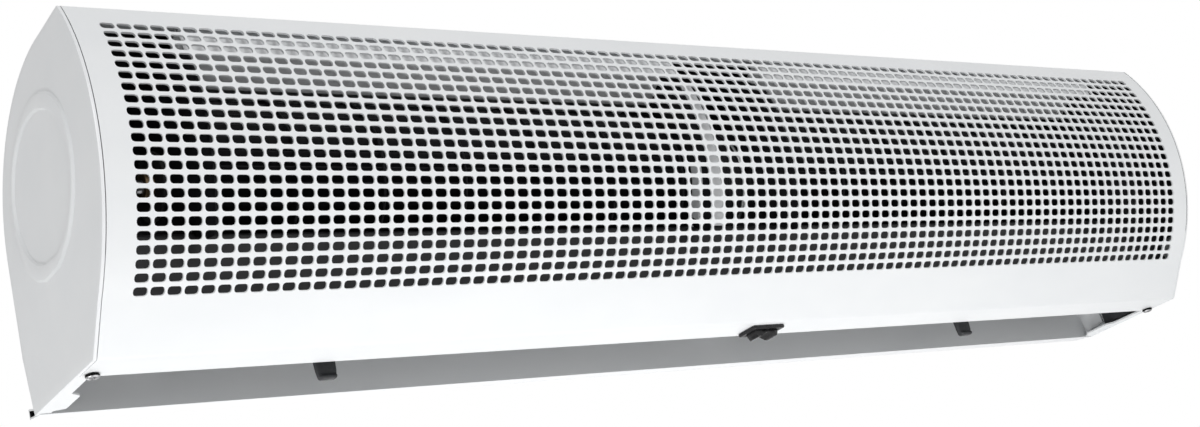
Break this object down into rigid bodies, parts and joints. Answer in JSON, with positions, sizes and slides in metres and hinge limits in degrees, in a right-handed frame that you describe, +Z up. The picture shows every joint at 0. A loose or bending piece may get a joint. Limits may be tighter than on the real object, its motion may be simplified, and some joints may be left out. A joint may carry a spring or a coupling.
{
  "type": "wall-mounted air curtain",
  "caption": "Long wall-mounted air curtain: perforated bulged front, round end plates, cross-flow fan drums on a middle motor, outlet with swivelling vane and a rocker switch underneath.",
  "frame": {"origin": "middle of the wall plate's back face, which lies on the wall", "axes": "+X along the unit to the right as seen from the room, +Y into the wall, +Z up; the outlet blows down"},
  "size_m": [0.9032, 0.1548, 0.1976],
  "materials": {
    "white_paint": "satin powder coat",
    "grey_paint": "satin primer grey",
    "dark_paint": "satin, near black",
    "zinc_sheet": "zinc-coated sheet",
    "aluminium": "bare sheet",
    "vane_aluminium": "painted light grey",
    "steel": "bright steel",
    "black_plastic": "semi-gloss",
    "dark_plastic": "matt",
    "rubber": "matt",
    "copper": "varnished copper wire",
    "brass": "plain",
    "pale_plastic": "matt"
  },
  "bodies": {
    "casing": {"rear_shell": "white_paint", "front_cover": "white_paint", "end_plate_left": "white_paint", "end_plate_right": "white_paint", "scroll_left": "grey_paint", "scroll_right": "grey_paint", "motor_bulkhead_left": "grey_paint", "motor_bulkhead_right": "grey_paint", "tongue_plate": "dark_paint", "end_bulkhead_left": "dark_paint", "end_bulkhead_right": "dark_paint", "wall_plate": "zinc_sheet", "motor_can": "zinc_sheet", "capacitor_strap": "zinc_sheet", "motor_end_bell_left": "aluminium", "motor_end_bell_right": "aluminium", "motor_stator": "steel", "cover_screw_left": "steel", "cover_screw_right": "steel", "left_end_screw_low": "steel", "left_end_screw_high": "steel", "left_motor_screw_low": "steel", "left_motor_screw_high": "steel", "right_motor_screw_low": "steel", "right_motor_screw_high": "steel", "right_end_screw_low": "steel", "right_end_screw_high": "steel", "switch_housing": "black_plastic", "vane_bracket_left": "dark_plastic", "vane_bracket_right": "dark_plastic", "bearing_holder_left": "rubber", "bearing_holder_right": "rubber", "motor_ring_left": "rubber", "motor_ring_right": "rubber", "cable_grommet": "rubber", "motor_winding_left": "copper", "motor_winding_right": "copper", "bearing_left": "brass", "bearing_right": "brass", "switch_terminal_left": "brass", "switch_terminal_right": "brass", "capacitor": "pale_plastic", "terminal_block": "pale_plastic"},
    "rotor": {"motor_rotor": "steel", "drum_hub_left": "aluminium", "drum_hub_right": "aluminium", "fan_drum_left": "dark_paint", "fan_drum_right": "dark_paint", "fan_axle_left": "steel", "fan_axle_right": "steel"},
    "vane": {"outlet_vane": "vane_aluminium", "vane_tab_left": "dark_plastic", "vane_tab_right": "dark_plastic"},
    "rocker": {"switch_rocker": "black_plastic"}
  },
  "joints": [
    {"name": "fan_spin", "type": "hinge", "parent": "casing", "child": "rotor", "pos_m": [0, -0.0756, 0.03239], "axis": [-1, 0, 0], "continuous": true},
    {"name": "vane_tilt", "type": "hinge", "parent": "casing", "child": "vane", "pos_m": [0, -0.06, -0.051], "axis": [-1, 0, 0], "range_deg": [-18, 20]},
    {"name": "switch_rock", "type": "hinge", "parent": "casing", "child": "rocker", "pos_m": [0.017, -0.089, -0.0736], "axis": [0, 1, 0], "range_deg": [-10, 10]}
  ]
}
